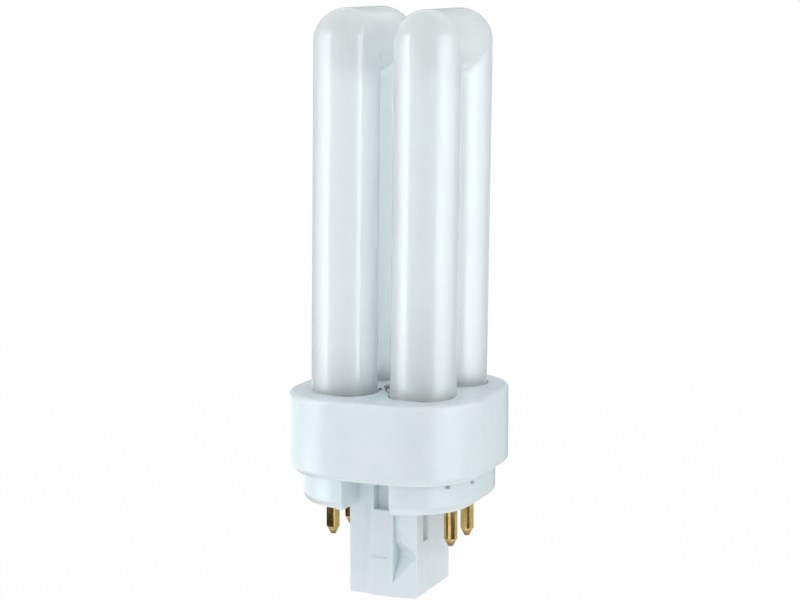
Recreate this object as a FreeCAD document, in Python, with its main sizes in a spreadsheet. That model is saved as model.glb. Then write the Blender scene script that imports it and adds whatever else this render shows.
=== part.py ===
"""Plug-in fluorescent lamp: two square-topped U tubes in a moulded collar, on a keyed four-pin plug.

Millimetres, +Z up. The origin is the middle of the post's flat end. +X runs along the wide spacing of
the contact pins, and each U runs from front (-Y) to back (+Y).
"""
import FreeCAD, Part
import math
import os
import Sketcher

doc = FreeCAD.newDocument("PlugInLamp")

# Sizes: one row for each size that can be set by itself
SIZES = [
    ("overall_height", 103.0, "post's end to the top of the tubes"),
    ("tube_diameter", 11.6, "outside of the glass"),
    ("limb_spacing", 14.9, "axis to axis of neighbouring limbs, both ways"),
    ("tube_lean", 0.7, "degrees by which the glass leans towards +X in its collar"),
    ("seal_clearance", 1.9, "pinch seals' ends above the notch housings"),
    ("bridge_diameter", 5.6, "outside of the glass bridge between the two back limbs"),
    ("bridge_height", 7.0, "bridge's axis above the collar's top"),
    ("bridge_fillet", 0.9, "melted corner where the bridge meets a limb"),
    ("crotch_radius", 1.5, "inside corner between a limb and its cross tube"),
    ("pinch_width", 8.6, "flat pinch seal of a front limb"),
    ("pinch_thickness", 2.8, "flat pinch seal of a front limb"),
    ("pinch_length", 2.4, "pinch seal below the limb's domed end"),
    ("pinch_corner", 0.9, "rounding of the pinch seal's upright edges"),
    ("exhaust_tip_diameter", 3.2, "exhaust tip where it leaves the dome"),
    ("exhaust_tip_point", 1.2, "exhaust tip at its sealed end"),
    ("exhaust_tip_length", 3.4, "exhaust tip below the dome"),
    ("collar_margin", 4.45, "collar beyond the glass on each side"),
    ("collar_height", 14.1, "collar from its foot to its top"),
    ("corner_shift", 1.95, "centre of the collar's corner, in from a limb's axis both ways"),
    ("collar_wall", 1.9, "side wall"),
    ("collar_top_thickness", 2.5, "top plate with the limb holes"),
    ("collar_rim_round", 0.7, "rounding of the top's outer edge"),
    ("collar_foot_round", 1.5, "rounding of the foot's outer edge"),
    ("limb_clearance", 0.3, "gap round a limb in its hole"),
    ("cement_port", 4.4, "port between the four limb holes"),
    ("cement_lift", 1.8, "cement's underside above the stop lugs"),
    ("cement_setback", 0.3, "cement's top in the holes, below the collar's top"),
    ("stop_lug_width", 5.0, "lug on the collar's wall that the plug's lip meets"),
    ("stop_lug_reach", 1.5, "how far a stop lug stands in from the wall"),
    ("stop_lug_height", 2.4, "stop lug above the lip"),
    ("step_height", 5.5, "plug's step below the collar's foot"),
    ("lip_height", 3.0, "plug's lip inside the collar"),
    ("plug_fit", 0.1, "gap between the lip and the collar's wall"),
    ("plug_corner_easing", 0.8, "plug's corner radius over the collar's inside one"),
    ("plug_wall", 1.5, "wall of the plug's cup"),
    ("plug_floor", 1.8, "floor of the plug's cup"),
    ("step_round", 1.5, "rounding of the step's lower edge"),
    ("post_length", 16.8, "post below the step"),
    ("post_width", 12.8, "post along X"),
    ("post_depth", 16.8, "post along Y, over its ribs"),
    ("post_floor", 1.6, "closed end of the post"),
    ("post_side_wall", 2.2, "wall of the post's hollow, at X"),
    ("post_core_wall", 1.3, "wall between the post's hollow and a catch recess"),
    ("post_end_round", 0.5, "rounding of the post's end"),
    ("rib_width", 4.2, "rib on the post's front and back"),
    ("corner_fall", 0.8, "post's corners behind the rib's face"),
    ("rib_flank", 1.3, "run of the slope up to the rib, on the side without a recess"),
    ("foot_height", 2.6, "foot below the recesses, where the rib blends into the post"),
    ("recess_depth", 2.8, "recess beside the rib where the holder's spring catches"),
    ("recess_lower_ramp", 4.4, "height of the recess's slope up from the foot"),
    ("recess_flat", 1.2, "height of the recess's deepest part"),
    ("recess_upper_ramp", 2.0, "height of the recess's slope up to its shoulder"),
    ("shoulder_depth", 1.15, "recess beside the rib, above the catch"),
    ("recess_top_depth", 0.65, "recess beside the rib, at the step"),
    ("recess_margin", 0.3, "post's corner beyond a recess"),
    ("recess_round", 0.9, "rounding inside the recess"),
    ("post_web", 1.2, "wall across the post's hollow"),
    ("dimple_width", 3.2, "shallow dimple, open at one edge of the rib's face"),
    ("dimple_height", 2.4, "shallow dimple in the rib's face"),
    ("dimple_depth", 0.25, "shallow dimple in the rib's face"),
    ("dimple_middle", 8.2, "dimple's middle above the post's end"),
    ("notch_width", 8.9, "notch in the step, front and back"),
    ("notch_wall", 1.3, "walls behind, beside and over the notch"),
    ("slot_width", 3.0, "blind catch slot in the rib"),
    ("slot_height", 4.4, "blind catch slot in the rib"),
    ("slot_drop", 1.1, "catch slot's lower end below the step"),
    ("slot_depth", 2.0, "catch slot behind the rib's face"),
    ("keyway_width", 2.3, "key slot in each side of the post"),
    ("keyway_depth", 0.9, "key slot in each side of the post"),
    ("keyway_length", 7.1, "key slot below the step"),
    ("keyway_offset", 3.5, "key slot's axis from the post's middle"),
    ("pin_room", 0.8863, "between a pin's flange and the plug's wall: puts the pins on a circle of 24"),
    ("pin_row_spacing", 8.0, "front pin to back pin"),
    ("pin_diameter", 2.4, "contact pin below the step"),
    ("pin_seat_diameter", 2.6, "contact pin in the plug's floor"),
    ("pin_reach", 7.4, "contact pin below the step"),
    ("pin_tip_diameter", 0.9, "contact pin at its point"),
    ("pin_tip_length", 1.4, "contact pin's tapered tip"),
    ("pin_fit", 0.03, "gap round a pin in the plug's floor"),
    ("pin_flange_diameter", 4.0, "pin's flange on the plug's floor"),
    ("pin_flange_thickness", 0.8, "pin's flange on the plug's floor"),
    ("pin_neck_diameter", 1.9, "pin's neck above its flange"),
    ("pin_neck_height", 1.8, "pin's neck above its flange"),
    ("lead_diameter", 0.5, "electrode lead"),
    ("lead_fit", 0.08, "gap round a lead in its pin's neck"),
    ("lead_bend", 0.9, "bend radius of a lead"),
    ("lead_straight", 1.2, "straight run of a lead at each end"),
    ("lead_spread", 4.0, "between the two leads of one pinch seal"),
]

sheet = doc.addObject("Spreadsheet::Sheet", "Sizes")
for row, (name, number, meaning) in enumerate(SIZES, start=2):
    sheet.set(f"A{row}", meaning)
    sheet.set(f"B{row}", str(number))
    sheet.setAlias(f"B{row}", name)
doc.recompute()

# Heights and places that follow from the sizes
STEP_FOOT = "Sizes.post_length"
FLOOR_TOP = "(Sizes.post_length + Sizes.plug_floor)"
COLLAR_FOOT = "(Sizes.post_length + Sizes.step_height)"
LIP_TOP = f"({COLLAR_FOOT} + Sizes.lip_height)"
COLLAR_TOP = f"({COLLAR_FOOT} + Sizes.collar_height)"
COLLAR_CEILING = f"({COLLAR_TOP} - Sizes.collar_top_thickness)"
COLLAR_WIDTH = "(Sizes.limb_spacing + Sizes.tube_diameter + 2 * Sizes.collar_margin)"
COLLAR_CORNER = f"({COLLAR_WIDTH} / 2 - Sizes.limb_spacing / 2 + Sizes.corner_shift)"
COLLAR_INSIDE = f"({COLLAR_WIDTH} - 2 * Sizes.collar_wall)"
COLLAR_INSIDE_CORNER = f"({COLLAR_CORNER} - Sizes.collar_wall)"
PLUG_WIDTH = f"({COLLAR_INSIDE} - 2 * Sizes.plug_fit)"
PLUG_CORNER = f"({COLLAR_INSIDE_CORNER} + Sizes.plug_corner_easing)"
TUBE_RADIUS = "(Sizes.tube_diameter / 2)"
LIMB = "(Sizes.limb_spacing / 2)"
LIMB_GAP = "(Sizes.limb_spacing - Sizes.tube_diameter)"
LIMB_HOLE = "(Sizes.tube_diameter + 2 * Sizes.limb_clearance)"
CROSS_TUBE = f"(Sizes.overall_height - {COLLAR_TOP} - {TUBE_RADIUS})"
PINCH_END = "(Sizes.notch_wall + Sizes.seal_clearance - Sizes.collar_height)"
DOME_END = f"({PINCH_END} + Sizes.pinch_length)"
LIMB_END = f"({DOME_END} + {TUBE_RADIUS})"
WIDEST_CORNER = f"(0.46 * {LIMB_GAP})"
CROTCH_RADIUS = f"min(Sizes.crotch_radius; {WIDEST_CORNER})"
BRIDGE_FILLET = f"min(Sizes.bridge_fillet; {WIDEST_CORNER})"
CEMENT_FOOT = f"({LIP_TOP} + Sizes.stop_lug_height + Sizes.cement_lift)"
RIB_FACE = "(Sizes.post_depth / 2)"
CORNER_FACE = "(Sizes.post_depth / 2 - Sizes.corner_fall)"
RIB_HALF = "(Sizes.rib_width / 2)"
POST_HALF = "(Sizes.post_width / 2)"
RECESS_FLOOR = f"({RIB_FACE} - Sizes.recess_depth)"
RECESS_LOW = "(Sizes.foot_height + Sizes.recess_lower_ramp)"
RECESS_HIGH = f"({RECESS_LOW} + Sizes.recess_flat)"
RECESS_SHOULDER = f"({RECESS_HIGH} + Sizes.recess_upper_ramp)"
RECESS_SPAN = f"({POST_HALF} - {RIB_HALF} - Sizes.recess_margin)"
RECESS_FALL = f"((Sizes.recess_depth - Sizes.corner_fall) / {RECESS_SPAN})"
PIN_Y = "(Sizes.pin_row_spacing / 2)"
PIN_X = f"({PLUG_WIDTH} / 2 - Sizes.plug_wall - Sizes.pin_room - Sizes.pin_flange_diameter / 2)"
NECK_TOP = f"({FLOOR_TOP} + Sizes.pin_flange_thickness + Sizes.pin_neck_height)"

SIDES = (("left", -1), ("right", 1))
FACES = (("front", -1), ("back", 1))
TOUCH = 1e-3
SEAM_BELOW = -math.pi / 2


def value(expression):
    """The number that an expression of the sheet gives now."""
    return float(sheet.evalExpression(expression))


def new_body(name):
    """An empty body whose label names its file."""
    body = doc.addObject("PartDesign::Body", name)
    body.Label = name
    return body


def origin_feature(body, role):
    """One of a body's own origin planes or axes."""
    return next(feature for feature in body.Origin.OriginFeatures if feature.Role == role)


def attach(feature, body, role, offset):
    """Lays a feature on one of its body's origin planes, moved along its normal by an expression."""
    feature.AttachmentSupport = [(origin_feature(body, role), "")]
    feature.MapMode = "FlatFace"
    feature.setExpression("AttachmentOffset.Base.z", offset)


def new_sketch(body, name, role="XY_Plane", offset="0"):
    """A sketch on one of the body's origin planes."""
    sketch = body.newObject("Sketcher::SketchObject", name)
    attach(sketch, body, role, offset)
    return sketch


def bind(sketch, kind, expression, *elements):
    """Adds a dimension whose size is an expression."""
    index = sketch.addConstraint(Sketcher.Constraint(kind, *elements, value(expression)))
    sketch.setExpression(f"Constraints[{index}]", expression)


def place_point(sketch, edge, end, across, up):
    """Ties a point of an edge to its place from the sketch's origin."""
    for kind, expression, axis in (("DistanceX", across, -2), ("DistanceY", up, -1)):
        number = value(expression)
        if number == 0:
            sketch.addConstraint(Sketcher.Constraint("PointOnObject", edge, end, axis))
        elif number > 0:
            bind(sketch, kind, expression, -1, 1, edge, end)
        else:
            bind(sketch, kind, f"-({expression})", edge, end, -1, 1)


def add_circle(sketch, across, up, diameter, seam=0):
    """A circle placed and sized by expressions, whose edge starts at the angle of its seam."""
    centre = FreeCAD.Vector(value(across), value(up), 0)
    circle = Part.Circle(centre, FreeCAD.Vector(0, 0, 1), value(diameter) / 2)
    circle.AngleXU = seam
    edge = sketch.addGeometry(circle)
    bind(sketch, "Diameter", diameter, edge)
    place_point(sketch, edge, 3, across, up)


def add_polygon(sketch, corners):
    """A closed outline of straight edges through corners given as pairs of expressions."""
    points = [FreeCAD.Vector(value(across), value(up), 0) for across, up in corners]
    edges = []
    for start, finish in zip(points, points[1:] + points[:1]):
        edges.append(sketch.addGeometry(Part.LineSegment(start, finish)))
    for before, after in zip(edges, edges[1:] + edges[:1]):
        sketch.addConstraint(Sketcher.Constraint("Coincident", before, 2, after, 1))
    for edge, (across, up) in zip(edges, corners):
        place_point(sketch, edge, 1, across, up)


def add_rectangle(sketch, left, right, bottom, top):
    """An upright rectangle between four expressions."""
    add_polygon(sketch, [(left, bottom), (right, bottom), (right, top), (left, top)])


def add_rounded_square(sketch, width, corner):
    """A square about the origin with its corners rounded."""
    half = value(width) / 2
    radius = value(corner)
    inner = half - radius
    lines = []
    arcs = []
    for turn in range(4):
        angle = turn * math.pi / 2
        rotate = FreeCAD.Rotation(FreeCAD.Vector(0, 0, 1), math.degrees(angle))
        start = rotate.multVec(FreeCAD.Vector(half, -inner, 0))
        finish = rotate.multVec(FreeCAD.Vector(half, inner, 0))
        centre = rotate.multVec(FreeCAD.Vector(inner, inner, 0))
        circle = Part.Circle(centre, FreeCAD.Vector(0, 0, 1), radius)
        lines.append(sketch.addGeometry(Part.LineSegment(start, finish)))
        arcs.append(sketch.addGeometry(Part.ArcOfCircle(circle, angle, angle + math.pi / 2)))
    for turn in range(4):
        direction = "Vertical" if turn % 2 == 0 else "Horizontal"
        sketch.addConstraint(Sketcher.Constraint(direction, lines[turn]))
        sketch.addConstraint(Sketcher.Constraint("Tangent", lines[turn], 2, arcs[turn], 1))
        sketch.addConstraint(Sketcher.Constraint("Tangent", arcs[turn], 2, lines[(turn + 1) % 4], 1))
    for turn in (1, 2, 3):
        sketch.addConstraint(Sketcher.Constraint("Equal", arcs[0], arcs[turn]))
    sketch.addConstraint(Sketcher.Constraint("Symmetric", lines[0], 1, lines[2], 1, -1, 1))
    bind(sketch, "Radius", corner, arcs[0])
    bind(sketch, "DistanceX", width, lines[2], 1, lines[0], 1)
    bind(sketch, "DistanceY", width, lines[3], 1, lines[1], 1)


def pad(body, name, sketch, length, midplane=False):
    """Adds a prism on a sketch."""
    feature = body.newObject("PartDesign::Pad", name)
    feature.Profile = sketch
    feature.Midplane = midplane
    feature.setExpression("Length", length)
    return feature


def pocket(body, name, sketch, length, reverse=False, midplane=False):
    """Cuts a prism on a sketch, and makes sure that it took something away."""
    doc.recompute()
    before = body.Shape.Volume
    feature = body.newObject("PartDesign::Pocket", name)
    feature.Profile = sketch
    feature.Midplane = midplane
    feature.Reversed = reverse
    feature.setExpression("Length", length)
    doc.recompute()
    if not body.Shape.Volume < before:
        raise RuntimeError(f"{name} cuts nothing")
    return feature


def sloping_pocket(body, name, sketch):
    """Cuts a recess away from the rib, whose floor rises towards the post's corner."""
    feature = body.newObject("PartDesign::Pocket", name)
    feature.Profile = sketch
    feature.UseCustomVector = True
    feature.AlongSketchNormal = True
    feature.Direction = FreeCAD.Vector(1, -value(RECESS_FALL), 0)
    feature.setExpression("Direction.y", f"-{RECESS_FALL}")
    feature.setExpression("Length", f"{POST_HALF} - {RIB_HALF}")
    return feature


def half_turn(body, name, features):
    """Repeats features at the back of the body, turned about the upright axis."""
    pattern = body.newObject("PartDesign::PolarPattern", name)
    pattern.Originals = features
    pattern.Axis = (origin_feature(body, "Z_Axis"), [""])
    pattern.Angle = 360
    pattern.Occurrences = 2
    body.Tip = pattern
    return pattern


def round_edges(body, name, base, radius, chosen):
    """Rounds the edges of a feature that a test chooses."""
    doc.recompute()
    names = [f"Edge{number}" for number, edge in enumerate(base.Shape.Edges, start=1) if chosen(edge)]
    if not names:
        raise RuntimeError(f"{name} finds no edge")
    feature = body.newObject("PartDesign::Fillet", name)
    feature.Base = (base, names)
    feature.setExpression("Radius", radius)
    return feature


def spans(low, high):
    """Chooses edges whose lowest and highest points lie at two heights."""
    bottom = value(low)
    top = value(high)
    return lambda edge: abs(edge.BoundBox.ZMin - bottom) < TOUCH and abs(edge.BoundBox.ZMax - top) < TOUCH


def lies_at(height):
    """Chooses edges that lie flat at a height."""
    return spans(height, height)


def cylinder(body, name, role, centre, diameter, length, seam=0):
    """A round bar centred on a point given as expressions in the sketch plane and along its normal."""
    across, up, along = centre
    sketch = new_sketch(body, f"{name}_section", role, along)
    add_circle(sketch, across, up, diameter, seam)
    return pad(body, name, sketch, length, midplane=True)


def ball(body, name, place):
    """A ball of glass as wide as the tube, which rounds a limb's end."""
    feature = body.newObject("PartDesign::AdditiveSphere", name)
    attach(feature, body, "XY_Plane", place[2])
    feature.setExpression("AttachmentOffset.Base.x", place[0])
    feature.setExpression("AttachmentOffset.Base.y", place[1])
    feature.setExpression("Radius", TUBE_RADIUS)
    return feature


def make_discharge_tube():
    """The glass vessel, measured from the collar's top: two U's, their bridge, seals and exhaust tip."""
    body = new_body("discharge_tube")
    for side, x_sign in SIDES:
        across = f"({x_sign} * {LIMB})"
        name = f"cross_tube_{side}"
        middle = (across, CROSS_TUBE, "0")
        cylinder(body, name, "XZ_Plane", middle, "Sizes.tube_diameter", "Sizes.limb_spacing", SEAM_BELOW)
    limbs = new_sketch(body, "limb_sections", offset=LIMB_END)
    for side, x_sign in SIDES:
        for face, y_sign in FACES:
            add_circle(limbs, f"({x_sign} * {LIMB})", f"({y_sign} * {LIMB})", "Sizes.tube_diameter")
    joined = pad(body, "limbs", limbs, f"{CROSS_TUBE} - {LIMB_END}")
    round_edges(body, "crotches", joined, CROTCH_RADIUS, spans(f"{CROSS_TUBE} - {TUBE_RADIUS}", CROSS_TUBE))
    for side, x_sign in SIDES:
        for face, y_sign in FACES:
            across = f"({x_sign} * {LIMB})"
            along = f"({y_sign} * {LIMB})"
            ball(body, f"dome_{face}_{side}", (across, along, LIMB_END))
            ball(body, f"corner_{face}_{side}", (across, along, CROSS_TUBE))
    place = (LIMB, "Sizes.bridge_height", "0")
    bridge = cylinder(body, "bridge", "YZ_Plane", place, "Sizes.bridge_diameter", "Sizes.limb_spacing")
    bridge_level = value("Sizes.bridge_height")
    bridge_radius = value("Sizes.bridge_diameter") / 2

    def rings_the_bridge(edge):
        box = edge.BoundBox
        in_band = max(abs(box.ZMin - bridge_level), abs(box.ZMax - bridge_level)) < 1.1 * bridge_radius
        return in_band and box.YLength > TOUCH

    round_edges(body, "bridge_melt", bridge, BRIDGE_FILLET, rings_the_bridge)
    pinches = new_sketch(body, "pinch_sections", offset=PINCH_END)
    for side, x_sign in SIDES:
        middle = f"{x_sign} * {LIMB}"
        add_rectangle(
            pinches,
            f"({middle} - Sizes.pinch_width / 2)",
            f"({middle} + Sizes.pinch_width / 2)",
            f"(-{LIMB} - Sizes.pinch_thickness / 2)",
            f"(-{LIMB} + Sizes.pinch_thickness / 2)",
        )
    seals = pad(body, "pinch_seals", pinches, f"{LIMB_END} - {PINCH_END}")
    seal_foot = value(PINCH_END)

    def is_upright(edge):
        box = edge.BoundBox
        return abs(box.ZMin - seal_foot) < TOUCH and box.XLength < TOUCH and box.YLength < TOUCH

    round_edges(body, "pinch_corners", seals, "Sizes.pinch_corner", is_upright)
    tip = body.newObject("PartDesign::AdditiveCone", "exhaust_tip")
    attach(tip, body, "XY_Plane", f"{DOME_END} - Sizes.exhaust_tip_length")
    tip.setExpression("AttachmentOffset.Base.x", f"-{LIMB}")
    tip.setExpression("AttachmentOffset.Base.y", LIMB)
    tip.setExpression("Radius1", "Sizes.exhaust_tip_point / 2")
    tip.setExpression("Radius2", "Sizes.exhaust_tip_diameter / 2")
    tip.setExpression("Height", "Sizes.exhaust_tip_length + Sizes.exhaust_tip_point")
    body.Placement = FreeCAD.Placement(FreeCAD.Vector(0, 0, 1), FreeCAD.Rotation(FreeCAD.Vector(0, 1, 0), 1))
    body.setExpression("Placement.Base.z", COLLAR_TOP)
    body.setExpression("Placement.Rotation.Angle", "Sizes.tube_lean")
    return body


def make_collar():
    """The upper housing: a rounded square cup, open below, with holes for the limbs in its top."""
    body = new_body("collar")
    outline = new_sketch(body, "outline", offset=COLLAR_FOOT)
    add_rounded_square(outline, COLLAR_WIDTH, COLLAR_CORNER)
    block = pad(body, "block", outline, "Sizes.collar_height")
    rim = round_edges(body, "rim", block, "Sizes.collar_rim_round", lies_at(COLLAR_TOP))
    round_edges(body, "foot", rim, "Sizes.collar_foot_round", lies_at(COLLAR_FOOT))
    hollow = new_sketch(body, "hollow_outline", offset=COLLAR_FOOT)
    add_rounded_square(hollow, COLLAR_INSIDE, COLLAR_INSIDE_CORNER)
    pocket(body, "hollow", hollow, f"{COLLAR_CEILING} - {COLLAR_FOOT}", reverse=True)
    holes = new_sketch(body, "limb_hole_circles", offset=COLLAR_TOP)
    for side, x_sign in SIDES:
        for face, y_sign in FACES:
            add_circle(holes, f"({x_sign} * {LIMB})", f"({y_sign} * {LIMB})", LIMB_HOLE)
    add_circle(holes, "0", "0", "Sizes.cement_port")
    pocket(body, "limb_holes", holes, "Sizes.collar_top_thickness")
    lug = new_sketch(body, "stop_lug_section", offset=LIP_TOP)
    add_rectangle(
        lug,
        f"({COLLAR_INSIDE} / 2 - Sizes.stop_lug_reach)",
        f"({COLLAR_INSIDE} / 2 + Sizes.collar_wall / 2)",
        "(-Sizes.stop_lug_width / 2)",
        "(Sizes.stop_lug_width / 2)",
    )
    first = pad(body, "stop_lug", lug, "Sizes.stop_lug_height")
    lugs = body.newObject("PartDesign::PolarPattern", "stop_lugs")
    lugs.Originals = [first]
    lugs.Axis = (origin_feature(body, "Z_Axis"), [""])
    lugs.Angle = 360
    lugs.Occurrences = 4
    body.Tip = lugs
    return body


def make_base_plug():
    """The lower moulding: the step's cup, its notches, and the keyed post with ribs and catch recesses."""
    body = new_body("base_plug")
    outline = new_sketch(body, "cup_outline", offset=STEP_FOOT)
    add_rounded_square(outline, PLUG_WIDTH, PLUG_CORNER)
    cup = pad(body, "cup", outline, f"{LIP_TOP} - {STEP_FOOT}")
    round_edges(body, "step_edge", cup, "Sizes.step_round", lies_at(STEP_FOOT))
    inside = new_sketch(body, "cup_inside", offset=FLOOR_TOP)
    add_rounded_square(inside, f"({PLUG_WIDTH} - 2 * Sizes.plug_wall)", f"({PLUG_CORNER} - Sizes.plug_wall)")
    pocket(body, "cup_hollow", inside, f"{LIP_TOP} - {FLOOR_TOP}", reverse=True)
    post = new_sketch(body, "post_outline")
    flank_foot = f"({RIB_HALF} + Sizes.rib_flank)"
    add_polygon(post, [
        (f"(-{POST_HALF})", f"(-{CORNER_FACE})"),
        (f"(-{flank_foot})", f"(-{CORNER_FACE})"),
        (f"(-{RIB_HALF})", f"(-{RIB_FACE})"),
        (RIB_HALF, f"(-{RIB_FACE})"),
        (POST_HALF, f"(-{CORNER_FACE})"),
        (POST_HALF, CORNER_FACE),
        (flank_foot, CORNER_FACE),
        (RIB_HALF, RIB_FACE),
        (f"(-{RIB_HALF})", RIB_FACE),
        (f"(-{POST_HALF})", CORNER_FACE),
    ])
    pad(body, "post", post, FLOOR_TOP)
    recess = new_sketch(body, "recess_profile", "YZ_Plane", RIB_HALF)
    beyond = f"(-{RIB_FACE} - Sizes.recess_depth)"
    add_polygon(recess, [
        (f"(-{RIB_FACE})", "Sizes.foot_height"),
        (beyond, "Sizes.foot_height"),
        (beyond, STEP_FOOT),
        (f"(-{RIB_FACE} + Sizes.recess_top_depth)", STEP_FOOT),
        (f"(-{RIB_FACE} + Sizes.shoulder_depth)", RECESS_SHOULDER),
        (f"(-{RECESS_FLOOR})", RECESS_HIGH),
        (f"(-{RECESS_FLOOR})", RECESS_LOW),
    ])
    recesses = half_turn(body, "recesses", [sloping_pocket(body, "recess", recess)])

    def is_recess_corner(edge):
        low = edge.BoundBox.ZMin
        deep = min(abs(low - value(RECESS_LOW)), abs(low - value(RECESS_HIGH))) < TOUCH
        return deep and edge.BoundBox.ZLength < TOUCH

    round_edges(body, "recess_rounds", recesses, "Sizes.recess_round", is_recess_corner)
    housing = new_sketch(body, "notch_housing_outline", offset=STEP_FOOT)
    housing_half = "(Sizes.notch_width / 2 + Sizes.notch_wall)"
    cup_inside_face = f"({PLUG_WIDTH} / 2 - Sizes.plug_wall / 2)"
    add_rectangle(
        housing,
        f"(-{housing_half})",
        housing_half,
        f"(-{cup_inside_face})",
        f"(-{RIB_FACE} + Sizes.notch_wall)",
    )
    notch_housing = pad(body, "notch_housing", housing, "Sizes.step_height + Sizes.notch_wall")
    rib = new_sketch(body, "rib_outline", offset=STEP_FOOT)
    rib_back = f"(-{RECESS_FLOOR} + Sizes.post_core_wall)"
    add_rectangle(rib, f"(-{RIB_HALF})", RIB_HALF, f"(-{RIB_FACE})", rib_back)
    rib_bar = pad(body, "rib", rib, "Sizes.step_height")
    half_turn(body, "ribs_and_housings", [notch_housing, rib_bar])
    hollow = new_sketch(body, "post_inside", offset="Sizes.post_floor")
    hollow_half = f"({POST_HALF} - Sizes.post_side_wall)"
    hollow_depth = f"({RECESS_FLOOR} - Sizes.post_core_wall)"
    web_half = "(Sizes.post_web / 2)"
    add_rectangle(hollow, f"(-{hollow_half})", hollow_half, f"(-{hollow_depth})", f"(-{web_half})")
    add_rectangle(hollow, f"(-{hollow_half})", hollow_half, web_half, hollow_depth)
    pocket(body, "post_hollow", hollow, f"{COLLAR_FOOT} - Sizes.post_floor", reverse=True)
    web = new_sketch(body, "web_outline", offset="Sizes.post_floor")
    add_rectangle(web, f"(-{hollow_half})", hollow_half, f"(-{web_half})", web_half)
    pad(body, "web", web, f"{COLLAR_FOOT} - Sizes.post_floor")
    notch = new_sketch(body, "notch_outline", offset=STEP_FOOT)
    add_rectangle(
        notch,
        "(-Sizes.notch_width / 2)",
        "(Sizes.notch_width / 2)",
        f"(-{COLLAR_WIDTH} / 2)",
        f"(-{RIB_FACE})",
    )
    notch_cut = pocket(body, "notch", notch, "Sizes.step_height", reverse=True)
    slot = new_sketch(body, "slot_outline", "XZ_Plane", RIB_FACE)
    add_rectangle(
        slot,
        "(-Sizes.slot_width / 2)",
        "(Sizes.slot_width / 2)",
        f"({STEP_FOOT} - Sizes.slot_drop)",
        f"({STEP_FOOT} - Sizes.slot_drop + Sizes.slot_height)",
    )
    slot_cut = pocket(body, "slot", slot, "Sizes.slot_depth")
    keyway = new_sketch(body, "keyway_outline", "YZ_Plane", POST_HALF)
    add_rectangle(
        keyway,
        "(-Sizes.keyway_offset - Sizes.keyway_width / 2)",
        "(-Sizes.keyway_offset + Sizes.keyway_width / 2)",
        f"({STEP_FOOT} - Sizes.keyway_length)",
        STEP_FOOT,
    )
    keyway_cut = pocket(body, "keyway", keyway, "Sizes.keyway_depth")
    dimple = new_sketch(body, "dimple_outline", "XZ_Plane", RIB_FACE)
    add_rectangle(
        dimple,
        f"(-{flank_foot})",
        f"(Sizes.dimple_width - {RIB_HALF})",
        "(Sizes.dimple_middle - Sizes.dimple_height / 2)",
        "(Sizes.dimple_middle + Sizes.dimple_height / 2)",
    )
    dimple_cut = pocket(body, "dimple", dimple, "Sizes.dimple_depth")
    cuts = half_turn(body, "back_cuts", [notch_cut, slot_cut, keyway_cut, dimple_cut])
    round_edges(body, "post_end", cuts, "Sizes.post_end_round", lies_at("0"))
    pin_holes = new_sketch(body, "pin_hole_circles", offset=STEP_FOOT)
    for side, x_sign in SIDES:
        for face, y_sign in FACES:
            across = f"({x_sign} * {PIN_X})"
            along = f"({y_sign} * {PIN_Y})"
            add_circle(pin_holes, across, along, "(Sizes.pin_seat_diameter + 2 * Sizes.pin_fit)")
    pocket(body, "pin_holes", pin_holes, "Sizes.plug_floor", reverse=True)
    return body


def make_tube_cement(tube):
    """The poured cement under the collar's top, shaped round the glass that stands in it."""
    block = new_body("cement_block")
    outline = new_sketch(block, "puddle_outline", offset=CEMENT_FOOT)
    add_rounded_square(outline, COLLAR_INSIDE, COLLAR_INSIDE_CORNER)
    pad(block, "puddle", outline, f"{COLLAR_CEILING} - {CEMENT_FOOT}")
    plugs = new_sketch(block, "hole_filling", offset=COLLAR_CEILING)
    for side, x_sign in SIDES:
        for face, y_sign in FACES:
            add_circle(plugs, f"({x_sign} * {LIMB})", f"({y_sign} * {LIMB})", LIMB_HOLE)
    add_circle(plugs, "0", "0", "Sizes.cement_port")
    pad(block, "hole_fillings", plugs, "Sizes.collar_top_thickness - Sizes.cement_setback")
    cement = doc.addObject("Part::Cut", "tube_cement")
    cement.Label = "tube_cement"
    cement.Base = block
    cement.Tool = tube
    return cement


def make_contact_pin(face, side, x_sign, y_sign):
    """A turned pin: tapered tip, shank, seat in the floor, flange on it, and a neck bored for its lead."""
    name = f"contact_pin_{face}_{side}"
    body = new_body(name)
    profile = new_sketch(body, f"{name}_profile", "XZ_Plane")
    tip = f"({STEP_FOOT} - Sizes.pin_reach)"
    shank = "(Sizes.pin_diameter / 2)"
    seat = "(Sizes.pin_seat_diameter / 2)"
    flange = "(Sizes.pin_flange_diameter / 2)"
    flange_top = f"({FLOOR_TOP} + Sizes.pin_flange_thickness)"
    neck = "(Sizes.pin_neck_diameter / 2)"
    bore = "(Sizes.lead_diameter / 2 + Sizes.lead_fit)"
    add_polygon(profile, [
        ("0", tip),
        ("(Sizes.pin_tip_diameter / 2)", tip),
        (shank, f"({tip} + Sizes.pin_tip_length)"),
        (shank, STEP_FOOT),
        (seat, STEP_FOOT),
        (seat, FLOOR_TOP),
        (flange, FLOOR_TOP),
        (flange, flange_top),
        (neck, flange_top),
        (neck, NECK_TOP),
        (bore, NECK_TOP),
        (bore, flange_top),
        ("0", flange_top),
    ])
    turned = body.newObject("PartDesign::Revolution", f"{name}_turned")
    turned.Profile = profile
    turned.ReferenceAxis = (profile, ["V_Axis"])
    turned.Angle = 360
    body.setExpression("Placement.Base.x", f"{x_sign} * {PIN_X}")
    body.setExpression("Placement.Base.y", f"{y_sign} * {PIN_Y}")
    return body


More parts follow.
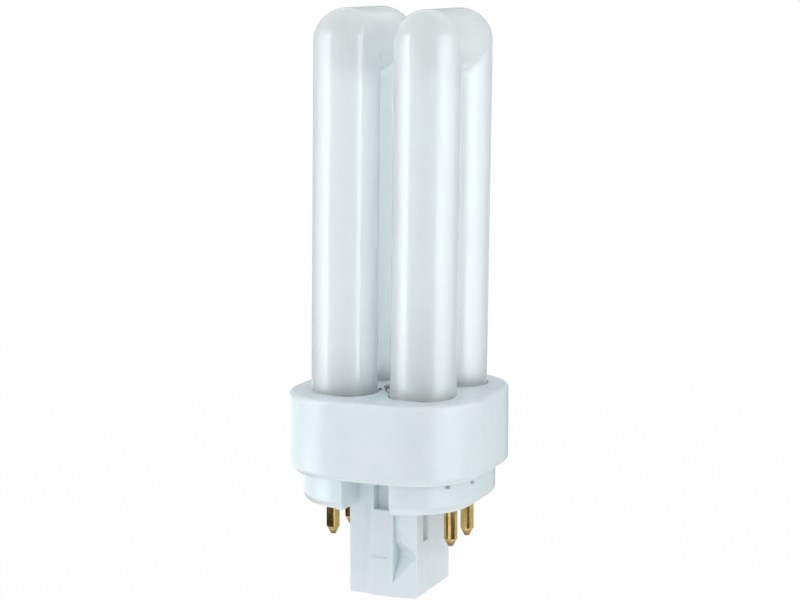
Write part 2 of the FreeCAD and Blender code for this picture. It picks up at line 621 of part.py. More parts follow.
def bent_wire(points, bend, radius):
    """A round wire along straight runs joined by bends."""
    edges = []
    start = points[0]
    for corner, following in zip(points[1:-1], points[2:]):
        back = (start - corner).normalize()
        ahead = (following - corner).normalize()
        half_angle = back.getAngle(ahead) / 2
        trim = bend / math.tan(half_angle)
        arc_start = corner + back * trim
        arc_end = corner + ahead * trim
        middle = corner + (back + ahead).normalize() * (bend / math.sin(half_angle) - bend)
        edges.append(Part.LineSegment(start, arc_start).toShape())
        edges.append(Part.Arc(arc_start, middle, arc_end).toShape())
        start = arc_end
    edges.append(Part.LineSegment(start, points[-1]).toShape())
    circle = Part.Wire(Part.makeCircle(radius, points[0], points[1] - points[0]))
    return Part.Wire(edges).makePipeShell([circle], True, False)


def make_lead_wire(face, side, x_sign, y_sign, tube):
    """An electrode lead from a front limb's pinch seal into the neck of its pin."""
    name = f"lead_wire_{face}_{side}"
    straight = FreeCAD.Vector(0, 0, value("Sizes.lead_straight"))
    away = y_sign * value("Sizes.lead_spread") / 2
    in_glass = FreeCAD.Vector(x_sign * value(LIMB) - x_sign * away, -value(LIMB), value(PINCH_END))
    tilt_drop = value("Sizes.lead_diameter") / 2 * math.sin(math.radians(value("Sizes.tube_lean")))
    seal = tube.Placement.multVec(in_glass) - FreeCAD.Vector(0, 0, tilt_drop)
    neck = FreeCAD.Vector(x_sign * value(PIN_X), y_sign * value(PIN_Y), value(NECK_TOP))
    bottom = neck - FreeCAD.Vector(0, 0, value("Sizes.pin_neck_height"))
    route = [seal, seal - straight, neck + straight, bottom]
    wire = doc.addObject("Part::Feature", name)
    wire.Label = name
    wire.Shape = bent_wire(route, value("Sizes.lead_bend"), value("Sizes.lead_diameter") / 2)
    return wire


discharge_tube = make_discharge_tube()
collar = make_collar()
base_plug = make_base_plug()
doc.recompute()
pieces = [discharge_tube, collar, base_plug, make_tube_cement(discharge_tube)]
for side, x_sign in SIDES:
    for face, y_sign in FACES:
        pieces.append(make_contact_pin(face, side, x_sign, y_sign))
        pieces.append(make_lead_wire(face, side, x_sign, y_sign, discharge_tube))
doc.recompute()

# Nothing is written unless every feature is up to date and every piece is one sound solid
for feature in doc.Objects:
    if {"Invalid", "Error"} & set(feature.State):
        raise RuntimeError(f"{feature.Label} failed: {feature.State}")
for piece in pieces:
    if piece.Shape.isNull() or not piece.Shape.isValid():
        raise RuntimeError(f"{piece.Label} has no sound shape")
    if len(piece.Shape.Solids) != 1:
        raise RuntimeError(f"{piece.Label} is {len(piece.Shape.Solids)} solids")

os.makedirs("parts", exist_ok=True)
for piece in pieces:
    piece.Shape.exportStep(f"parts/{piece.Label}.step")
    box = piece.Shape.BoundBox
    print(f"{piece.Label}: {piece.Shape.Volume:.1f} mm3, Z {box.ZMin:.2f} to {box.ZMax:.2f}")
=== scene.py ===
# %% [markdown]
# A plug-in fluorescent lamp. Two square-topped U tubes of coated glass stand in a moulded collar, and
# under it are a stepped plug, a keyed post and four brass pins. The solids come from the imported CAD
# model. This lesson gives them their finishes, a studio and a camera.

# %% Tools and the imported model
import math

import bpy
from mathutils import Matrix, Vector


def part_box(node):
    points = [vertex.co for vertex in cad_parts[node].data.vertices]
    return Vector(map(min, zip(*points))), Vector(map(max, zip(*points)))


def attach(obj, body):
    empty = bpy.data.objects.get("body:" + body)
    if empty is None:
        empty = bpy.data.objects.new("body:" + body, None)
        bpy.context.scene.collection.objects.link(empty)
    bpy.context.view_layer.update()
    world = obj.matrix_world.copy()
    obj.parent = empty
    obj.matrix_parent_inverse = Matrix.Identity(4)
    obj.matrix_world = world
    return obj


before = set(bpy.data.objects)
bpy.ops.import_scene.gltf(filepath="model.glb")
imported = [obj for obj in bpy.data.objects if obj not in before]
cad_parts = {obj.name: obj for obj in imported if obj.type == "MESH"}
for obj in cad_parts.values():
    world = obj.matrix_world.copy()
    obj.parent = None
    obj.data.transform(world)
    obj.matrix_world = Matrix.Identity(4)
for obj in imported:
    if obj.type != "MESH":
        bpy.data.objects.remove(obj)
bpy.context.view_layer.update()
print("nodes:", ", ".join(sorted(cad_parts)))

# %% [markdown]
# The camera stands 384 mm from the lamp's axis, turned 22.7 degrees towards the side with the key slot,
# and looks down by 8.75 degrees. A long lens keeps the uprights nearly parallel, as in the photograph.
# The focal length in pixels becomes millimetres through the 36 mm sensor and the 800 pixel frame.

# %% Camera
FRAME_WIDTH = 800
SENSOR_WIDTH = 36
FOCAL_PIXELS = 2203
camera_distance = 0.384
camera_height = 0.1109
camera_turn = math.radians(22.7)
camera_pitch = math.radians(8.75)

camera_data = bpy.data.cameras.new("studio_camera")
camera_data.sensor_width = SENSOR_WIDTH
camera_data.lens = FOCAL_PIXELS / FRAME_WIDTH * SENSOR_WIDTH
camera_data.clip_start = 0.01
camera = bpy.data.objects.new("studio_camera", camera_data)
camera.location = (
    camera_distance * math.sin(camera_turn),
    -camera_distance * math.cos(camera_turn),
    camera_height,
)
camera.rotation_euler = (math.pi / 2 - camera_pitch, 0, camera_turn)
bpy.context.collection.objects.link(camera)
bpy.context.scene.camera = camera
print("lens in mm:", round(camera_data.lens, 1))

# %% [markdown]
# White things are photographed in a tent of soft light. Wide soft boxes on the left, in front and on the
# right give the body its gentle modelling. They reach down to the table, so that some of their light gets
# into the notches under the collar. Each box is given by its angle from the camera's direction, its
# distance, its lower and upper edge, its width and its power. Reflections don't see the boxes.

# %% Soft boxes
def studio_point(angle, distance, height):
    """A point at an angle in degrees from the camera's direction, positive to the right."""
    turn = camera_turn + math.radians(angle)
    return Vector((distance * math.sin(turn), -distance * math.cos(turn), height))


def soft_box(name, angle, distance, low, high, width, power):
    """An upright area light that faces the lamp and is left out of reflections."""
    light_data = bpy.data.lights.new(name, "AREA")
    light_data.shape = "RECTANGLE"
    light_data.size = width
    light_data.size_y = high - low
    light_data.energy = power
    light = bpy.data.objects.new(name, light_data)
    middle = (low + high) / 2
    light.location = studio_point(angle, distance, middle)
    aim = Vector((0, 0, middle)) - light.location
    light.rotation_mode = "QUATERNION"
    light.rotation_quaternion = aim.to_track_quat("-Z", "Y")
    light.visible_camera = False
    light.visible_glossy = False
    bpy.context.collection.objects.link(light)
    print(name, "at", [round(part, 3) for part in light.location])


soft_box("left_soft_box", -95, 0.24, 0.002, 0.19, 0.24, 0.035)
soft_box("front_soft_box", -24, 0.36, 0.002, 0.14, 0.30, 0.15)
soft_box("right_soft_box", 60, 0.30, 0.002, 0.15, 0.30, 0.065)

# %% [markdown]
# What the glass, the plastic and the brass mirror is three rings of light round the lamp. The wide one is
# for the tubes. The nearer and lower ones are for the plug and the pins, because the camera looks down on
# them and they mirror only what stands close. A ring is bright where a streak belongs, narrow on the left
# and wide on the right, and dark where the photographer stands. Reflections alone see the rings, so they
# draw streaks and add no light. A row of a ring's profile is an angle in degrees from the camera's
# direction, then the brightness there at the ring's foot and at its top.

# %% Profiles of the rings
TUBE_RING = [
    (-180, 0.50, 0.60),
    (-127, 0.55, 0.60),
    (-116, 0.90, 0.90),
    (-100, 1.90, 1.90),
    (-84, 3.40, 3.40),
    (-74, 4.70, 4.70),
    (-62, 5.40, 5.40),
    (-56, 1.70, 1.70),
    (-50, 1.30, 1.30),
    (-28, 0.80, 0.80),
    (-14, 0.20, 0.60),
    (10, 0.10, 0.60),
    (24, 0.40, 0.80),
    (32, 1.10, 1.10),
    (40, 3.50, 3.50),
    (50, 4.30, 4.30),
    (62, 4.10, 4.10),
    (76, 3.00, 3.00),
    (88, 2.30, 2.30),
    (100, 1.50, 1.50),
    (112, 0.80, 0.80),
    (125, 0.55, 0.60),
    (180, 0.50, 0.60),
]
PLUG_RING = [
    (-180, 1.10, 1.30),
    (-110, 1.60, 1.70),
    (-92, 3.00, 1.70),
    (-84, 6.00, 2.00),
    (-66, 6.00, 2.00),
    (-60, 0.90, 0.90),
    (-28, 0.60, 0.60),
    (-20, 0.20, 0.20),
    (-16, 0.00, 0.00),
    (22, 0.00, 0.00),
    (26, 1.90, 2.60),
    (63, 1.90, 2.60),
    (70, 0.90, 0.90),
    (118, 1.20, 1.20),
    (127, 0.25, 0.25),
    (180, 0.20, 0.20),
]
PIN_RING = [
    (-125, 0.03, 0.03),
    (-19, 0.03, 0.03),
    (-15, 1.30, 1.30),
    (20, 0.80, 0.80),
    (24, 0.08, 0.08),
    (56, 0.08, 0.08),
    (62, 0.65, 0.65),
    (140, 0.65, 0.65),
]
print("rows:", len(TUBE_RING), len(PLUG_RING), len(PIN_RING))

# %% [markdown]
# One small helper makes every shader node and sets its properties and sockets by name.

# %% Node helper
def add_node(tree, kind, **values):
    """A node with some of its properties or sockets set by name."""
    node = tree.nodes.new(kind)
    for key, number in values.items():
        if key in node.inputs:
            node.inputs[key].default_value = number
        else:
            setattr(node, key, number)
    return node


# %% [markdown]
# A ring is a band of narrow upright panels. Its corners carry the brightness as a mesh attribute, which
# the ring's emission material reads, so the light fades evenly from one row of the profile to the next.

# %% Reflection tents
RING_FOOT = 0.0005
PANEL_DEGREES = 3


def ring_columns(profile):
    """The profile's rows with even steps between them, as angle, lower and upper brightness."""
    columns = []
    for row, next_row in zip(profile, profile[1:]):
        steps = max(1, round((next_row[0] - row[0]) / PANEL_DEGREES))
        for step in range(steps):
            columns.append([start + (stop - start) * step / steps for start, stop in zip(row, next_row)])
    columns.append(list(profile[-1]))
    return columns


def ring_light(name, tone):
    """An emission material whose strength is the mesh attribute "brightness"."""
    paint = bpy.data.materials.new(name)
    paint.use_nodes = True
    tree = paint.node_tree
    tree.nodes.clear()
    level = add_node(tree, "ShaderNodeAttribute", attribute_name="brightness")
    glow = add_node(tree, "ShaderNodeEmission", Color=(*tone, 1))
    out = add_node(tree, "ShaderNodeOutputMaterial")
    tree.links.new(level.outputs["Fac"], glow.inputs["Strength"])
    tree.links.new(glow.outputs[0], out.inputs["Surface"])
    return paint


def reflection_tent(name, profile, radius, top, tone):
    """An upright ring of light round the lamp that only reflections see."""
    corners = []
    brightness = []
    for angle, below, above in ring_columns(profile):
        corners += [studio_point(angle, radius, RING_FOOT), studio_point(angle, radius, top)]
        brightness += [below, above]
    panels = len(corners) // 2 - 1
    faces = [(2 * panel, 2 * panel + 2, 2 * panel + 3, 2 * panel + 1) for panel in range(panels)]
    mesh = bpy.data.meshes.new(name)
    mesh.from_pydata(corners, [], faces)
    mesh.attributes.new("brightness", "FLOAT", "POINT").data.foreach_set("value", brightness)
    mesh.materials.append(ring_light(name, tone))
    tent = bpy.data.objects.new(name, mesh)
    bpy.context.collection.objects.link(tent)
    tent.visible_camera = False
    tent.visible_diffuse = False
    tent.visible_transmission = False
    tent.visible_shadow = False
    print(name, "of", panels, "panels")


reflection_tent("tube_tent", TUBE_RING, 0.17, 0.17, (0.93, 1.0, 1.03))
reflection_tent("plug_tent", PLUG_RING, 0.06, 0.028, (0.88, 1.0, 1.02))
reflection_tent("pin_tent", PIN_RING, 0.026, 0.0135, (1.0, 1.0, 1.0))

# %% [markdown]
# The world is white to the camera and to reflected and transmitted rays. To the diffuse light it is a dome,
# dim near the horizon and bright overhead, because most of a tent's light comes through its roof.

# %% World
WALL_LIGHT = 0.46
ROOF_LIGHT = 1.10


def seen_directly(tree):
    """One for rays from the camera and for reflected and transmitted rays, else nought."""
    path = add_node(tree, "ShaderNodeLightPath")
    total = path.outputs["Is Camera Ray"]
    for output in ("Is Glossy Ray", "Is Transmission Ray"):
        larger = add_node(tree, "ShaderNodeMath", operation="MAXIMUM")
        tree.links.new(total, larger.inputs[0])
        tree.links.new(path.outputs[output], larger.inputs[1])
        total = larger.outputs[0]
    return total


world = bpy.data.worlds.new("white_room")
bpy.context.scene.world = world
world.use_nodes = True
room = world.node_tree
room.nodes.clear()
white = add_node(room, "ShaderNodeBackground", Color=(1, 1, 1, 1), Strength=1.0)
dome = add_node(room, "ShaderNodeBackground", Color=(1, 1, 1, 1))
direction = add_node(room, "ShaderNodeTexCoord")
parts = add_node(room, "ShaderNodeSeparateXYZ")
fade = add_node(room, "ShaderNodeMapRange")
fade.inputs["To Min"].default_value = WALL_LIGHT
fade.inputs["To Max"].default_value = ROOF_LIGHT
choose = add_node(room, "ShaderNodeMixShader")
end = add_node(room, "ShaderNodeOutputWorld")
room.links.new(direction.outputs["Generated"], parts.inputs[0])
room.links.new(parts.outputs["Z"], fade.inputs["Value"])
room.links.new(fade.outputs["Result"], dome.inputs["Strength"])
room.links.new(seen_directly(room), choose.inputs[0])
room.links.new(dome.outputs[0], choose.inputs[1])
room.links.new(white.outputs[0], choose.inputs[2])
room.links.new(choose.outputs[0], end.inputs["Surface"])
bpy.context.scene.view_settings.view_transform = "Standard"
print("dome from", WALL_LIGHT, "at the walls to", ROOF_LIGHT, "overhead")

# %% [markdown]
# The lamp stands on a light table, whose plate lights it from below. The camera sees the plate nearly
# white round the lamp and wholly white further away, so that no horizon shows. What isn't glow is a matt
# pale surface, which takes the lamp's shadow.

# %% Floor
FLOOR_GLOW = 0.96
TABLE_LIGHT = 0.82
FLOOR_HALF = 1.5
WHITENING_STARTS = 0.06
WHITENING_ENDS = 0.30

floor_corners = [(-1, -1), (1, -1), (1, 1), (-1, 1)]
floor_mesh = bpy.data.meshes.new("floor")
floor_mesh.from_pydata(
    [(FLOOR_HALF * across, FLOOR_HALF * along, 0) for across, along in floor_corners], [], [(0, 1, 2, 3)]
)
floor = bpy.data.objects.new("floor", floor_mesh)
bpy.context.collection.objects.link(floor)
floor_paint = bpy.data.materials.new("pale_floor")
floor_paint.use_nodes = True
tree = floor_paint.node_tree
tree.nodes.clear()
matt = add_node(tree, "ShaderNodeBsdfDiffuse", Color=(0.93, 0.94, 0.95, 1))
glow = add_node(tree, "ShaderNodeEmission", Color=(1, 1, 1, 1), Strength=1.0)
place = add_node(tree, "ShaderNodeTexCoord")
far = add_node(tree, "ShaderNodeVectorMath", operation="LENGTH")
whiten = add_node(tree, "ShaderNodeMapRange")
whiten.inputs["From Min"].default_value = WHITENING_STARTS
whiten.inputs["From Max"].default_value = WHITENING_ENDS
whiten.inputs["To Min"].default_value = FLOOR_GLOW
share = add_node(tree, "ShaderNodeMix", data_type="FLOAT")
share.inputs["A"].default_value = TABLE_LIGHT
both = add_node(tree, "ShaderNodeMixShader")
end = add_node(tree, "ShaderNodeOutputMaterial")
tree.links.new(place.outputs["Object"], far.inputs[0])
tree.links.new(far.outputs["Value"], whiten.inputs["Value"])
tree.links.new(seen_directly(tree), share.inputs["Factor"])
tree.links.new(whiten.outputs["Result"], share.inputs["B"])
tree.links.new(share.outputs[0], both.inputs[0])
tree.links.new(matt.outputs[0], both.inputs[1])
tree.links.new(glow.outputs[0], both.inputs[2])
tree.links.new(both.outputs[0], end.inputs["Surface"])
floor_mesh.materials.append(floor_paint)
print("floor:", 2 * FLOOR_HALF, "m wide")

# %% [markdown]
# No moulded or coated surface is one flat colour. A cloudy tone, shared by all the finishes, drifts
# between two colours over a few millimetres. It is one node group, placed in each material with colours
# and a patch size of its own.

# %% Cloudy tone group
CLOUDS_START = 0.32
CLOUDS_END = 0.68


def new_group(name, inputs, outputs):
    """A shader node group with named sockets; each is given as name, socket type and default."""
    group = bpy.data.node_groups.new(name, "ShaderNodeTree")
    for side, sockets in (("INPUT", inputs), ("OUTPUT", outputs)):
        for socket_name, socket_type, default in sockets:
            socket = group.interface.new_socket(socket_name, in_out=side, socket_type=socket_type)
            if default is not None:
                socket.default_value = default
    return group


cloudy_tone = new_group(
    "cloudy_tone",
    [
        ("Tone", "NodeSocketColor", (0.8, 0.8, 0.8, 1)),
        ("Other tone", "NodeSocketColor", (0.7, 0.7, 0.7, 1)),
        ("Patches per metre", "NodeSocketFloat", 150.0),
    ],
    [("Color", "NodeSocketColor", None)],
)
given = add_node(cloudy_tone, "NodeGroupInput")
result = add_node(cloudy_tone, "NodeGroupOutput")
place = add_node(cloudy_tone, "ShaderNodeTexCoord")
clouds = add_node(cloudy_tone, "ShaderNodeTexNoise", Detail=3.0, Roughness=0.55)
spread = add_node(cloudy_tone, "ShaderNodeMapRange")
spread.inputs["From Min"].default_value = CLOUDS_START
spread.inputs["From Max"].default_value = CLOUDS_END
blend_tones = add_node(cloudy_tone, "ShaderNodeMix", data_type="RGBA")
cloudy_tone.links.new(place.outputs["Object"], clouds.inputs["Vector"])
cloudy_tone.links.new(given.outputs["Patches per metre"], clouds.inputs["Scale"])
cloudy_tone.links.new(clouds.outputs["Fac"], spread.inputs["Value"])
cloudy_tone.links.new(spread.outputs["Result"], blend_tones.inputs[0])
cloudy_tone.links.new(given.outputs["Tone"], blend_tones.inputs[6])
cloudy_tone.links.new(given.outputs["Other tone"], blend_tones.inputs[7])
cloudy_tone.links.new(blend_tones.outputs[2], result.inputs["Color"])
print("group:", cloudy_tone.name)

# %% [markdown]
# Seen close, the surface also shows fine grain: the spark-worn skin of the mould on the plastic, the
# drawing lines along the glass and the turned pins. The second group makes that grain as a height, with
# a stretch along the lamp for drawn things, and a matching drift of roughness.

# %% Fine grain group
fine_grain = new_group(
    "fine_grain",
    [
        ("Grains per metre", "NodeSocketFloat", 3000.0),
        ("Stretch along Z", "NodeSocketFloat", 1.0),
        ("Smoothest", "NodeSocketFloat", 0.3),
        ("Roughest", "NodeSocketFloat", 0.4),
    ],
    [("Height", "NodeSocketFloat", None), ("Roughness", "NodeSocketFloat", None)],
)
given = add_node(fine_grain, "NodeGroupInput")
result = add_node(fine_grain, "NodeGroupOutput")
place = add_node(fine_grain, "ShaderNodeTexCoord")
apart = add_node(fine_grain, "ShaderNodeSeparateXYZ")
shorten = add_node(fine_grain, "ShaderNodeMath", operation="DIVIDE")
together = add_node(fine_grain, "ShaderNodeCombineXYZ")
grain = add_node(fine_grain, "ShaderNodeTexNoise", Detail=2.0, Roughness=0.5)
drift = add_node(fine_grain, "ShaderNodeMapRange")
fine_grain.links.new(place.outputs["Object"], apart.inputs[0])
fine_grain.links.new(apart.outputs["X"], together.inputs["X"])
fine_grain.links.new(apart.outputs["Y"], together.inputs["Y"])
fine_grain.links.new(apart.outputs["Z"], shorten.inputs[0])
fine_grain.links.new(given.outputs["Stretch along Z"], shorten.inputs[1])
fine_grain.links.new(shorten.outputs[0], together.inputs["Z"])
fine_grain.links.new(together.outputs[0], grain.inputs["Vector"])
fine_grain.links.new(given.outputs["Grains per metre"], grain.inputs["Scale"])
fine_grain.links.new(grain.outputs["Fac"], drift.inputs["Value"])
fine_grain.links.new(given.outputs["Smoothest"], drift.inputs["To Min"])
fine_grain.links.new(given.outputs["Roughest"], drift.inputs["To Max"])
fine_grain.links.new(grain.outputs["Fac"], result.inputs["Height"])
fine_grain.links.new(drift.outputs["Result"], result.inputs["Roughness"])
print("group:", fine_grain.name)

# %% [markdown]
# A finish is a Principled material with both groups in it. A bump turns the grain's height, in metres,
# into relief. What is the same all over, such as how metallic it is, is set on the shader itself.

# %% Finish helpers
def new_finish(name, tone, other_tone, patches, grains, stretch, smoothest, roughest, bump, **shader_values):
    """A Principled material with the cloudy tone and the fine grain, and its plain values on the shader."""
    material = bpy.data.materials.new(name)
    material.use_nodes = True
    tree = material.node_tree
    shader = tree.nodes["Principled BSDF"]
    for key, number in shader_values.items():
        shader.inputs[key.replace("_", " ")].default_value = number
    tones = add_node(tree, "ShaderNodeGroup", node_tree=cloudy_tone)
    tones.inputs["Tone"].default_value = (*tone, 1)
    tones.inputs["Other tone"].default_value = (*other_tone, 1)
    tones.inputs["Patches per metre"].default_value = patches
    skin = add_node(tree, "ShaderNodeGroup", node_tree=fine_grain)
    skin.inputs["Grains per metre"].default_value = grains
    skin.inputs["Stretch along Z"].default_value = stretch
    skin.inputs["Smoothest"].default_value = smoothest
    skin.inputs["Roughest"].default_value = roughest
    relief = add_node(tree, "ShaderNodeBump", Strength=1.0, Distance=bump)
    tree.links.new(tones.outputs["Color"], shader.inputs["Base Color"])
    tree.links.new(skin.outputs["Roughness"], shader.inputs["Roughness"])
    tree.links.new(skin.outputs["Height"], relief.inputs["Height"])
    tree.links.new(relief.outputs["Normal"], shader.inputs["Normal"])
    return material


def blend_colour(material, where, colour):
    """Turns the finish towards a second colour where the given output rises to one."""
    tree = material.node_tree
    base = tree.nodes["Principled BSDF"].inputs["Base Color"]
    first = base.links[0].from_socket
    blend = add_node(tree, "ShaderNodeMix", data_type="RGBA")
    blend.inputs[7].default_value = (*colour, 1)
    tree.links.new(where, blend.inputs[0])
    tree.links.new(first, blend.inputs[6])
    tree.links.new(blend.outputs[2], base)


def dress(material, *nodes):
    """Gives a finish to the CAD nodes' own material slots."""
    for node in nodes:
        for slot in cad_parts[node].material_slots:
            slot.material = material
    print(material.name, "on", ", ".join(nodes))


# %% [markdown]
# The tubes are clear glass with a white powder coating inside. The powder is soft and lets some light
# through, so the tubes aren't dark where they face each other, while the reflections on the glass are
# sharp. That is a rough translucent white base with a little sheen, under a clear coat. Seen edge on, the
# glass in front of the powder darkens a little and turns grey green, which Layer Weight gives.

# %% Coated glass
EDGE_STARTS = 0.86

glass = new_finish(
    "coated_glass",
    tone=(0.88, 0.965, 0.99),
    other_tone=(0.86, 0.95, 0.98),
    patches=90,
    grains=900,
    stretch=60,
    smoothest=0.42,
    roughest=0.55,
    bump=0.00001,
    IOR=1.45,
    Coat_Weight=1.0,
    Coat_Roughness=0.025,
    Coat_IOR=1.5,
    Transmission_Weight=0.55,
    Subsurface_Weight=1.0,
    Subsurface_Scale=0.012,
    Subsurface_Radius=(1.0, 1.0, 1.0),
    Sheen_Weight=0.4,
    Sheen_Roughness=0.5,
)
edge_on = add_node(glass.node_tree, "ShaderNodeLayerWeight", Blend=0.5)
edge = add_node(glass.node_tree, "ShaderNodeMapRange")
edge.inputs["From Min"].default_value = EDGE_STARTS
glass.node_tree.links.new(edge_on.outputs["Facing"], edge.inputs["Value"])
blend_colour(glass, edge.outputs["Result"], (0.45, 0.52, 0.52))
dress(glass, "discharge_tube")

# %% [markdown]
# The collar and the plug are moulded in the same cool white plastic. It is satin, because the mould's
# skin is slightly grained, and its colour drifts a little where the melt flowed.

# %% Moulded plastic
plastic_look = {
    "tone": (0.725, 0.80, 0.825),
    "other_tone": (0.695, 0.775, 0.805),
    "patches": 260,
    "grains": 9000,
    "stretch": 1,
    "smoothest": 0.20,
    "roughest": 0.34,
    "bump": 0.000006,
    "IOR": 1.5,
    "Subsurface_Weight": 0.3,
    "Subsurface_Scale": 0.001,
    "Subsurface_Radius": (1.0, 1.0, 1.0),
}
collar_plastic = new_finish("collar_plastic", **plastic_look)
plug_plastic = new_finish("plug_plastic", **plastic_look)
dress(collar_plastic, "collar")
dress(plug_plastic, "base_plug")

# %% [markdown]
# The pins are turned brass, bright, with fine lines from the drawing of the wire. Their tips are tarnished.
# The tarnish fades out between two heights over the tip, and noise lowers both by up to the ragged height,
# so that its edge is no straight line.

# %% Brass pins
RAGGED_HEIGHT = 0.0022
TARNISH_ENDS = 0.0026
TARNISH_FULL = 0.0016

pins = sorted(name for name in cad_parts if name.startswith("contact_pin"))
brass = new_finish(
    "pin_brass",
    tone=(0.83, 0.62, 0.26),
    other_tone=(0.66, 0.44, 0.15),
    patches=700,
    grains=6000,
    stretch=12,
    smoothest=0.14,
    roughest=0.30,
    bump=0.00001,
    Metallic=1.0,
)
tip_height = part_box(pins[0])[0][2]
tree = brass.node_tree
place = add_node(tree, "ShaderNodeTexCoord")
apart = add_node(tree, "ShaderNodeSeparateXYZ")
ragged = add_node(tree, "ShaderNodeTexNoise", Scale=1500.0, Detail=2.0)
uneven = add_node(tree, "ShaderNodeMath", operation="MULTIPLY_ADD")
uneven.inputs[1].default_value = RAGGED_HEIGHT
tarnish = add_node(tree, "ShaderNodeMapRange")
tarnish.inputs["From Min"].default_value = tip_height + TARNISH_ENDS
tarnish.inputs["From Max"].default_value = tip_height + TARNISH_FULL
tree.links.new(place.outputs["Object"], apart.inputs[0])
tree.links.new(place.outputs["Object"], ragged.inputs["Vector"])
tree.links.new(ragged.outputs["Fac"], uneven.inputs[0])
tree.links.new(apart.outputs["Z"], uneven.inputs[2])
tree.links.new(uneven.outputs[0], tarnish.inputs["Value"])
blend_colour(brass, tarnish.outputs["Result"], (0.30, 0.20, 0.09))
dress(brass, *pins)

# %% [markdown]
# The leads inside are nickel iron wire, and the cement in the collar is a matt, gritty, yellowish grey.

# %% Leads and cement
leads = sorted(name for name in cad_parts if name.startswith("lead_wire"))
nickel = new_finish(
    "lead_metal",
    tone=(0.62, 0.61, 0.59),
    other_tone=(0.50, 0.49, 0.47),
    patches=900,
    grains=6000,
    stretch=10,
    smoothest=0.25,
    roughest=0.40,
    bump=0.000005,
    Metallic=1.0,
)
dress(nickel, *leads)


def gritty_finish(name, tone, other_tone, patches, grains, smoothest, roughest, bump):
    """A finish whose grain isn't stretched."""
    return new_finish(name, tone, other_tone, patches, grains, 1, smoothest, roughest, bump)


cement = gritty_finish("cement", (0.50, 0.48, 0.42), (0.38, 0.36, 0.31), 900, 2500, 0.85, 0.95, 0.0001)
dress(cement, "tube_cement")

# %% [markdown]
# The cement wells up in the holes and leaves an uneven bead round each limb's foot, with a short open gap
# where the hole's edge stays dark. Each bead is a thin ring with rounded skin, swept round the limb from
# one side of its gap to the other. It swells and thins on the way, as paste does. The skin's points are
# millimetres out from the glass and up from the collar, and a wave is a size, a rate and a shift.

# %% Cement beads at the limbs' feet
MILLIMETRE = 0.001
LIMB_AXIS = 0.00745
GLASS_RADIUS = 0.0058
COLLAR_TOP = 0.0364
SWEEP_STEPS = 72
BEAD_SKIN = [(0.0, -0.30), (0.0, 0.16), (0.12, 0.13), (0.24, 0.07), (0.34, 0.0), (0.30, -0.02), (0.29, -0.30)]
BEAD_WAVES = [(0.18, 3.1, 900), (0.10, 7.3, 0)]
BURIED_BELOW = -0.1
END_THICKNESS = 0.25
END_STEEPNESS = 6


def new_piece(name, corners, faces, finish):
    """A mesh piece on the lamp, with smooth faces and its finish in a material slot."""
    mesh = bpy.data.meshes.new(name)
    mesh.from_pydata(corners, [], faces)
    mesh.update()
    mesh.shade_smooth()
    mesh.materials.append(finish)
    piece = bpy.data.objects.new(name, mesh)
    bpy.context.collection.objects.link(piece)
    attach(piece, "root")
    print(name, "of", len(faces), "faces")


def swept_skin(ring_count, ring_size):
    """Faces between rings of corners, with the first and the last ring closed."""
    faces = []
    for ring in range(ring_count - 1):
        for side in range(ring_size):
            here = ring * ring_size + side
            beside = ring * ring_size + (side + 1) % ring_size
            faces.append((here, beside, beside + ring_size, here + ring_size))
    faces.append(tuple(reversed(range(ring_size))))
    faces.append(tuple(range((ring_count - 1) * ring_size, ring_count * ring_size)))
    return faces


def foot_bead(name, limb_x, limb_y, first_angle, last_angle):
    """A bead round one limb, between two angles in degrees from +X; its buried edge doesn't swell."""
    corners = []
    for step in range(SWEEP_STEPS + 1):
        part = step / SWEEP_STEPS
        turn = math.radians(first_angle + (last_angle - first_angle) * part)
        end_taper = min(1, END_THICKNESS + END_STEEPNESS * min(part, 1 - part))
        waves = sum(size * math.sin(rate * turn + shift * limb_x) for size, rate, shift in BEAD_WAVES)
        swell = end_taper * (1 + waves)
        for out, up in BEAD_SKIN:
            radius = GLASS_RADIUS + MILLIMETRE * out * (swell if up > BURIED_BELOW else 1)
            height = COLLAR_TOP + MILLIMETRE * up * (swell if up > 0 else 1)
            corners.append((limb_x + radius * math.cos(turn), limb_y + radius * math.sin(turn), height))
    new_piece(name, corners, swept_skin(SWEEP_STEPS + 1, len(BEAD_SKIN)), bead_cement)


bead_cement = gritty_finish(
    "bead_cement", (0.70, 0.77, 0.78), (0.62, 0.69, 0.70), 900, 3000, 0.60, 0.75, 0.00002
)
foot_bead("foot_bead_front_left", -LIMB_AXIS, -LIMB_AXIS, 18, 292)
foot_bead("foot_bead_front_right", LIMB_AXIS, -LIMB_AXIS, -142, 152)
foot_bead("foot_bead_back_right", LIMB_AXIS, LIMB_AXIS, 60, 350)
foot_bead("foot_bead_back_left", -LIMB_AXIS, LIMB_AXIS, -200, 130)

# %% [markdown]
# A crumb of cement lies on the collar between the limbs. Near it are a dark speck and a hair-thin dark
# line, raised a little, that runs to the front right limb. The crumb is a small drop whose skin goes in and
# out in two waves, round it and up it. Its ends are nearly points, and a part of its height is sunk. The
# line is a tube that wanders, with thick and thin places on its way.

# %% Crumb of cement, dark speck and dark line
CRUMB_RINGS = 9
CRUMB_SIDES = 14
CRUMB_WAVES = [(0.16, 3, 2), (0.09, 5, -3)]
CRUMB_END = 0.03
CRUMB_SUNK = 0.16
RUN_SIDES = 8
RUN_PATH = [(-1.3, -3.3), (-0.9, -4.0), (-0.7, -4.8), (-0.2, -5.5), (0.1, -6.2), (0.7, -6.9), (1.3, -7.5)]
RUN_WAVE = (0.4, 2.4, 1)
RUN_LIFT = 0.3


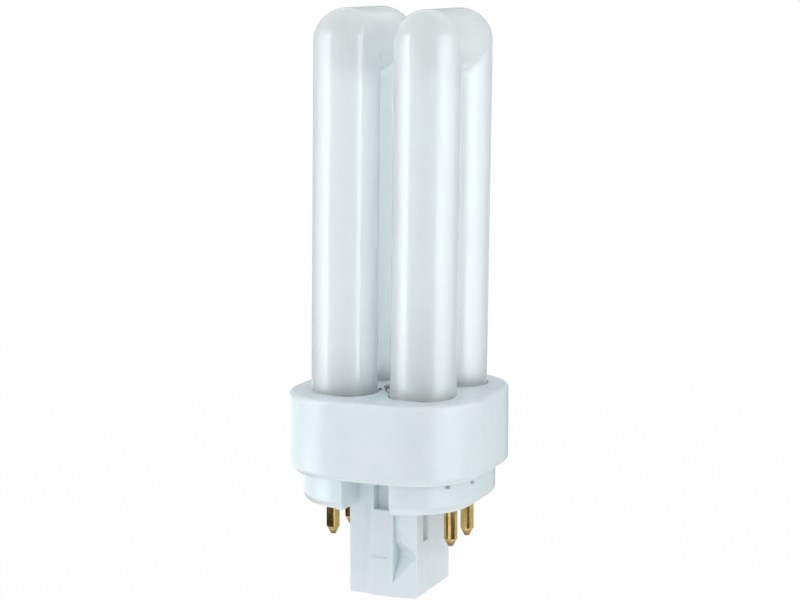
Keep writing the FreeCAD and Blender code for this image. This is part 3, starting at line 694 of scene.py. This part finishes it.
def crumb(name, centre_x, centre_y, radius, height, finish, base=COLLAR_TOP):
    """A lumpy drop; unless a base is given, it sits on the collar's top."""
    corners = []
    for ring in range(CRUMB_RINGS):
        lift = math.pi * ring / (CRUMB_RINGS - 1)
        rise = (1 + CRUMB_SUNK) * (1 - math.cos(lift)) / 2 - CRUMB_SUNK
        for side in range(CRUMB_SIDES):
            turn = 2 * math.pi * side / CRUMB_SIDES
            lump = 1 + sum(size * math.sin(rate * turn + climb * lift) for size, rate, climb in CRUMB_WAVES)
            reach = radius * lump * max(CRUMB_END, math.sin(lift))
            corners.append((
                centre_x + reach * math.cos(turn),
                centre_y + reach * math.sin(turn),
                base + height * rise,
            ))
    new_piece(name, corners, swept_skin(CRUMB_RINGS, CRUMB_SIDES), finish)


def raised_line(name, path, radius, finish):
    """A thin tube along points of the collar's top, given in millimetres."""
    size, rate, shift = RUN_WAVE
    corners = []
    for index, (x, y) in enumerate(path):
        before = path[max(0, index - 1)]
        after = path[min(len(path) - 1, index + 1)]
        along = Vector((after[0] - before[0], after[1] - before[1], 0)).normalized()
        across = Vector((-along.y, along.x, 0))
        thickness = radius * (1 - size + size * math.sin(rate * index + shift))
        middle = Vector((MILLIMETRE * x, MILLIMETRE * y, COLLAR_TOP + RUN_LIFT * thickness))
        for side in range(RUN_SIDES):
            turn = 2 * math.pi * side / RUN_SIDES
            upward = Vector((0, 0, thickness * math.sin(turn)))
            corners.append(middle + thickness * math.cos(turn) * across + upward)
    new_piece(name, corners, swept_skin(len(path), RUN_SIDES), finish)


# The speck and the line get a very dark, greenish grey.
dark_mark = gritty_finish(
    "dark_mark", (0.20, 0.23, 0.22), (0.12, 0.14, 0.13), 1500, 3000, 0.70, 0.85, 0.00003
)
crumb("cement_crumb", -0.0012, -0.0029, 0.00055, 0.0006, cement)
crumb("dark_speck", -0.0018, -0.0046, 0.00028, 0.0003, dark_mark)
raised_line("raised_line", RUN_PATH, 0.00014, dark_mark)

# %% [markdown]
# Two crumbs of moulding flash hang on the seam between the collar and the step, at the front right corner.
# They are the same lumpy drop as the cement crumb, set against the step's wall just under the collar.
# Their grey is darker than the plastic they are of, and that darkness is painted shade.

# %% Flash on the seam, with painted shade
# Painted shade: a grey darker than the collar's plastic.
flash_with_painted_shade = gritty_finish(
    "seam_flash_painted_shade", (0.52, 0.60, 0.60), (0.42, 0.50, 0.50), 1500, 3000, 0.50, 0.65, 0.00002
)
crumb("seam_flash_left", 0.01342, -0.01114, 0.00060, 0.0005, flash_with_painted_shade, 0.0214)
crumb("seam_flash_right", 0.01566, -0.00520, 0.00050, 0.0005, flash_with_painted_shade, 0.0212)
